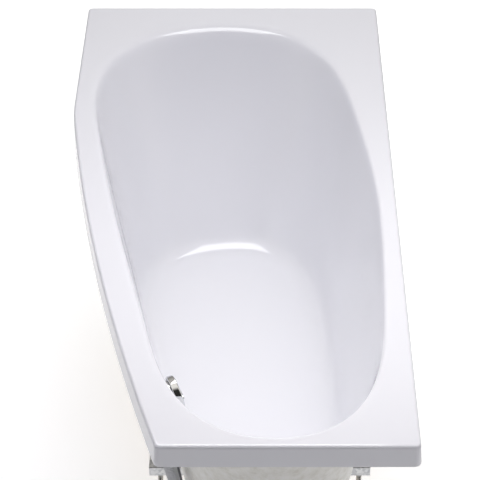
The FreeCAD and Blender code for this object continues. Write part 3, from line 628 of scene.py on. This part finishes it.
# ---------------------------------------------------------------- overflow knob and plug
def knob():
    # a domed turning cover with a bar grip across it
    prof = [(4.0, 9.0), (8.5, 9.0), (8.5, 19.0), (33.8, 18.6), (34.2, 8.2), (36.3, 7.8), (37.0, 8.5),
            (37.0, 20.6), (36.0, 22.2), (33.0, 23.1), (16.0, 24.0), (0.0, 24.2), (0.0, 19.0), (4.0, 19.0)]
    cap = lathe("cap", rounded(prof, [0, 0.3, 0, 0.4, 0.5, 0.4, 0.5, 1.2, 1.2, 1.5, 3.0, 0, 0, 0], 5), 144, None, 30.0)
    nx, layers = 96, []
    for z, s in ((21.0, 1.0), (23.0, 1.0), (24.4, 0.995), (25.3, 0.975), (26.0, 0.92), (26.5, 0.83), (26.75, 0.70), (26.8, 0.40)):
        inset = (1 - s) * 4.0
        layers.append([(math.copysign(abs(math.cos(a)) ** 0.30, math.cos(a)) * (23.0 - inset),
                        math.copysign(abs(math.sin(a)) ** 0.80, math.sin(a)) * (4.0 - inset), z)
                       for a in (2 * math.pi * (k + 0.5) / nx for k in range(nx))])
    verts = [p for r in layers for p in r]
    faces = []
    for i in range(len(layers) - 1):
        for k in range(nx):
            j = (k + 1) % nx
            faces.append((i * nx + k, i * nx + j, (i + 1) * nx + j, (i + 1) * nx + k))
    faces.append(tuple(reversed(range(nx))))
    faces.append(tuple(range((len(layers) - 1) * nx, len(layers) * nx)))
    grip = new_object("grip", verts, faces, 40.0)
    ob = join("overflow_turning_cover", [cap, grip], 38.0)
    ob.data.transform(OVER)
    return ob


finish_piece(knob(), "knob", "chrome", MAT["chrome"], "overflow_knob")

WASTE = Matrix.Translation((WX * MM, WY * MM, 0.0))
zt = 161.2
prof = [(0, zt - 3.7), (11.9, zt - 3.7), (11.9, zt), (24.0, zt), (24.6, zt + 0.5), (29.3, zt + 0.5), (29.6, zt + 1.2),
        (28.7, zt + 2.3), (20, zt + 4.9), (10, zt + 6.1), (0, zt + 6.5)]
dome = lathe("plug_dome", rounded(prof, [0, 0, 0, 0, 0.2, 0.3, 0.5, 1.2, 5.0, 5.0, 0], 6), 120, WASTE, 32.0)
finish_piece(dome, "plug", "chrome", MAT["chrome"], "plug_cap")


# ---------------------------------------------------------------- threaded foot rods
def thread(name, x, y, z0, z1, r, pitch, depth, seg=40):
    # one helical ridge round a rod, made as a closed sweep whose radius follows the angle
    n = int((z1 - z0) / pitch * 8)
    verts, rows = [], []
    for i in range(n + 1):
        z = z0 + (z1 - z0) * i / n
        row = []
        fade = min(1.0, min(z - z0, z1 - z) / (1.2 * pitch))
        end = min(1.0, (z1 - z) / 1.2)
        for k in range(seg):
            a = 2 * math.pi * k / seg
            t = (z / pitch - k / seg) % 1.0
            v = abs(2 * t - 1)
            rr = r - depth * (0.15 + 0.85 * min(1.0, max(0.0, 1.15 * v - 0.08))) * max(0.0, fade) - (1 - end) * 1.0
            row.append(len(verts))
            verts.append((x + rr * math.cos(a), y + rr * math.sin(a), z))
        rows.append(row)
    faces = rings_to_faces(rows)
    faces.append(tuple(reversed(rows[0])))
    faces.append(tuple(rows[-1]))
    return new_object(name, verts, faces, 50.0)


for foot in ("head_left", "head_right", "foot_left", "foot_right", "centre"):
    lo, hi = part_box("foot_rod_" + foot)
    cx, cy = (lo.x + hi.x) * 500, (lo.y + hi.y) * 500
    rod = thread("threaded_rod_" + foot, cx, cy, lo.z * 1000, hi.z * 1000, 6.0, 1.75, 1.07)
    finish_piece(rod, "foot_" + foot, "zinc_rod", MAT["zinc_rod"], "foot_rod_" + foot)


# ---------------------------------------------------------------- hose and cable
def over_pt(x, y, z):
    return tuple(c * 1000 for c in (OVER @ Vector((x * MM, y * MM, z * MM))))


def smooth_route(points, res=24):
    cu = bpy.data.curves.new("route", "CURVE")
    cu.dimensions = "3D"
    sp = cu.splines.new("NURBS")
    sp.points.add(len(points) - 1)
    for p, q in zip(sp.points, points):
        p.co = (q[0] * MM, q[1] * MM, q[2] * MM, 1.0)
    sp.order_u = 3
    sp.use_endpoint_u = True
    sp.resolution_u = res
    ob = bpy.data.objects.new("route", cu)
    me = bpy.data.meshes.new_from_object(ob)
    pts = np.array([v.co[:] for v in me.vertices]) * 1000
    bpy.data.objects.remove(ob)
    bpy.data.curves.remove(cu)
    return pts


def tube(name, pts, radius, seg=40, caps=True):
    # radius(s, total) in mm along a line of points; frames carried along without twist
    seglen = np.linalg.norm(np.diff(pts, axis=0), axis=1)
    s = np.concatenate([[0.0], np.cumsum(seglen)])
    tan = np.gradient(pts, axis=0)
    tan /= np.linalg.norm(tan, axis=1)[:, None]
    ref = np.cross(tan[0], (0.0, 0.0, 1.0))
    if np.linalg.norm(ref) < 0.1:
        ref = np.cross(tan[0], (1.0, 0.0, 0.0))
    ref /= np.linalg.norm(ref)
    total = float(s[-1])
    dense = []
    step = radius.step if hasattr(radius, "step") else None
    if step:
        at = np.arange(0.0, total, step)
        at = np.append(at, total)
        pts = np.stack([np.interp(at, s, pts[:, k]) for k in range(3)], 1)
        tan = np.stack([np.interp(at, s, tan[:, k]) for k in range(3)], 1)
        tan /= np.linalg.norm(tan, axis=1)[:, None]
        s = at
    verts, rows = [], []
    for i in range(len(pts)):
        ref = ref - tan[i] * float(ref @ tan[i])
        ref /= np.linalg.norm(ref)
        up = np.cross(tan[i], ref)
        r = radius(float(s[i]), total)
        row = []
        for k in range(seg):
            a = 2 * math.pi * k / seg
            row.append(len(verts))
            verts.append(tuple(pts[i] + r * (math.cos(a) * ref + math.sin(a) * up)))
        rows.append(row)
    faces = rings_to_faces(rows)
    faces.append(tuple(reversed(rows[0])))
    faces.append(tuple(rows[-1]))
    return new_object(name, verts, faces, 60.0)


def corrugated(s, total):
    end = min(s, total - s)
    if end < 16:
        return 14.45
    return 13.3 + 1.15 * math.tanh(2.2 * math.cos(2 * math.pi * (s - 16) / 5.0)) / math.tanh(2.2)


corrugated.step = 0.5


def sheath(s, total):
    return 2.5


sheath.step = 3.0

HOSE = [over_pt(0, -54, -28), over_pt(0, -94, -28), (-119, -592, 352), (-110, -590, 300), (-99, -586, 240), (-88, -580, 186),
        (-66, -571, 138), (-30, WY, 114), (WX - 62, WY, 114)]
CABLE = [over_pt(-20.5, -26, -28), over_pt(-20.5, -75, -28), (-102, -612, 372), (-93, -614, 318), (-84, -617, 262), (-74, -622, 208),
         (-58, -632, 160), (-26, -648, 126), (16, -664, 113), (52, -658, 112), (WX, -630, 112), (WX, -583, 112)]
finish_piece(tube("corrugated_hose", smooth_route(HOSE), corrugated, 48), "bath", "hose_plastic", MAT["hose_plastic"], "overflow_hose")
finish_piece(tube("pull_cable", smooth_route(CABLE), sheath, 20), "bath", "cable_sheath", MAT["cable_sheath"], "control_cable")

# ---------------------------------------------------------------- camera
cam_data = bpy.data.cameras.new("camera")
cam = bpy.data.objects.new("camera", cam_data)
bpy.context.scene.collection.objects.link(cam)
cam.location = (0.0662, -3.0796, 2.8755)
cam.rotation_euler = (math.radians(51.69), 0.0, 0.0)
cam_data.lens = 129.4
cam_data.sensor_width = 36.0
cam_data.shift_x = -0.0375
cam_data.clip_start, cam_data.clip_end = 0.1, 60.0
bpy.context.scene.camera = cam


# ---------------------------------------------------------------- floor and light
def floor_material():
    m, nt, b, tc = shader("studio_floor")
    f = noise(nt, tc, 1.5, 2.0)
    nt.links.new(ramp(nt, f, [(0.3, (0.80, 0.80, 0.80)), (0.7, (0.82, 0.82, 0.82))]), b.inputs["Base Color"])
    b.inputs["Roughness"].default_value = 0.9
    b.inputs["Emission Color"].default_value = (1.0, 1.0, 1.0, 1.0)
    b.inputs["Emission Strength"].default_value = FLOOR_GLOW
    # far from the bath the floor fades into the backdrop, so no horizon shows
    away = nt.nodes.new("ShaderNodeVectorMath")
    away.operation = "LENGTH"
    nt.links.new(tc.outputs["Object"], away.inputs[0])
    fade = nt.nodes.new("ShaderNodeMapRange")
    fade.interpolation_type = "SMOOTHSTEP"
    for k, v in (("From Min", 1.9), ("From Max", 4.6), ("To Min", 1.0), ("To Max", 0.0)):
        fade.inputs[k].default_value = v
    nt.links.new(away.outputs["Value"], fade.inputs["Value"])
    nt.links.new(fade.outputs["Result"], b.inputs["Alpha"])
    return m


FLOOR_GLOW = 0.545
WORLD = (0.132, 0.131, 0.146)

bpy.ops.mesh.primitive_grid_add(x_subdivisions=4, y_subdivisions=4, size=16.0, location=(0, 0, -0.0005))
ground = bpy.context.object
ground.name = "studio_floor"
ground.data.materials.append(floor_material())


def area(name, at, to, size, power, colour=(1, 1, 1), spread_deg=180.0):
    d = bpy.data.lights.new(name, "AREA")
    d.shape = "RECTANGLE"
    d.size, d.size_y = size
    d.energy = power
    d.color = colour
    d.spread = math.radians(spread_deg)
    o = bpy.data.objects.new(name, d)
    o.location = at
    o.rotation_euler = (Vector(to) - Vector(at)).to_track_quat("-Z", "Y").to_euler()
    bpy.context.scene.collection.objects.link(o)
    return o


# broad soft boxes over the bath light it evenly; the strip alone is mirrored in the gloss
for name, at, to, size, power, colour in (
        ("high_back", (0.2, 2.8, 3.2), (0.1, -0.2, 0.5), (4.0, 2.6), 69.0, (1.0, 0.972, 0.915)),
        ("low_back", (0.2, 3.6, 1.9), (0.05, 0.0, 0.58), (3.6, 0.9), 14.0, (1.0, 0.97, 0.93)),
        ("over_far", (0.17, 1.0, 2.4), (0.17, 1.0, 0.0), (1.5, 1.1), 3.8, (0.72, 0.80, 1.0)),
        ("over_left", (-0.60, -0.35, 1.9), (-0.55, -0.35, 0.0), (0.8, 1.4), 7.2, (0.96, 0.935, 1.0)),
        ("over_right", (0.35, -0.35, 1.6), (0.35, -0.35, 0.0), (0.9, 0.9), 5.5, (1.0, 0.99, 0.985)),
        ("near_right", (1.6, -1.2, 2.0), (-0.2, -0.5, 0.3), (1.2, 1.2), 5.4, (1.0, 0.94, 0.98)),
        ("over_wall_rim", (0.56, -0.42, 1.30), (0.30, -0.42, 0.50), (0.3, 1.3), 0.6, (1.0, 0.98, 0.98))):
    area(name, at, to, size, power, colour).visible_glossy = False
strip = area("strip", (-0.095, 0.79, 3.0), (-0.095, 0.79, 0.0), (1.25, 1.54), 38.2)
strip.visible_diffuse = False
# the strip glows less towards the foot of the bath, so its mirror image has no hard edge there
strip.data.use_nodes = True
st = strip.data.node_tree
glow = st.nodes.new("ShaderNodeMapRange")
glow.interpolation_type = "SMOOTHSTEP"
for k, v in (("From Min", 0.02), ("From Max", 0.50), ("To Min", 0.0), ("To Max", 1.0)):
    glow.inputs[k].default_value = v
place = st.nodes.new("ShaderNodeSeparateXYZ")
st.links.new(st.nodes.new("ShaderNodeNewGeometry").outputs["Position"], place.inputs["Vector"])
st.links.new(place.outputs["Y"], glow.inputs["Value"])
st.links.new(glow.outputs["Result"], st.nodes["Emission"].inputs["Strength"])

world = bpy.data.worlds.new("studio")
bpy.context.scene.world = world
world.use_nodes = True
wt = world.node_tree
bg = wt.nodes["Background"]
bg.inputs["Color"].default_value = (*WORLD, 1.0)
bg.inputs["Strength"].default_value = 1.0
# what the chrome and the gloss mirror: a pale studio wall behind the head of the bath, dark behind the viewer
room = wt.nodes.new("ShaderNodeBackground")
wc = wt.nodes.new("ShaderNodeTexCoord")
xyz = wt.nodes.new("ShaderNodeSeparateXYZ")
wt.links.new(wc.outputs["Generated"], xyz.inputs["Vector"])


def world_range(src, a, b, lo, hi):
    r = wt.nodes.new("ShaderNodeMapRange")
    r.interpolation_type = "SMOOTHSTEP"
    for k, v in (("From Min", a), ("From Max", b), ("To Min", lo), ("To Max", hi)):
        r.inputs[k].default_value = v
    wt.links.new(src, r.inputs["Value"])
    return r.outputs["Result"]


def world_times(a, b):
    t = wt.nodes.new("ShaderNodeMath")
    t.operation = "MULTIPLY"
    wt.links.new(a, t.inputs[0])
    wt.links.new(b, t.inputs[1])
    return t.outputs["Value"]


# dark at the viewer's side, bright overhead, paler again down to the wall behind
lit = world_times(world_range(xyz.outputs["Y"], -0.50, -0.12, 0.03, 0.95), world_range(xyz.outputs["Y"], 0.10, 0.55, 1.0, 0.54))
lit = world_times(lit, world_range(xyz.outputs["Z"], 0.15, 0.75, 0.55, 1.0))
room.inputs["Color"].default_value = (1.0, 0.96, 0.90, 1.0)
wt.links.new(lit, room.inputs["Strength"])
path = wt.nodes.new("ShaderNodeLightPath")
mix = wt.nodes.new("ShaderNodeMixShader")
wt.links.new(path.outputs["Is Glossy Ray"], mix.inputs["Fac"])
wt.links.new(bg.outputs["Background"], mix.inputs[1])
wt.links.new(room.outputs["Background"], mix.inputs[2])
# past the edge of the floor the viewer sees a pale backdrop
pale = wt.nodes.new("ShaderNodeBackground")
pale.inputs["Color"].default_value = (0.90, 0.90, 0.91, 1.0)
seen = wt.nodes.new("ShaderNodeMixShader")
wt.links.new(path.outputs["Is Camera Ray"], seen.inputs["Fac"])
wt.links.new(mix.outputs["Shader"], seen.inputs[1])
wt.links.new(pale.outputs["Background"], seen.inputs[2])
wt.links.new(seen.outputs["Shader"], wt.nodes["World Output"].inputs["Surface"])

vs = bpy.context.scene.view_settings
vs.view_transform = "Standard"
vs.look = "None"
vs.exposure = 0.0
vs.gamma = 1.0

for ob in list(bpy.data.objects):
    if ob.type == "MESH" and ob.users_collection == ():
        bpy.data.objects.remove(ob)
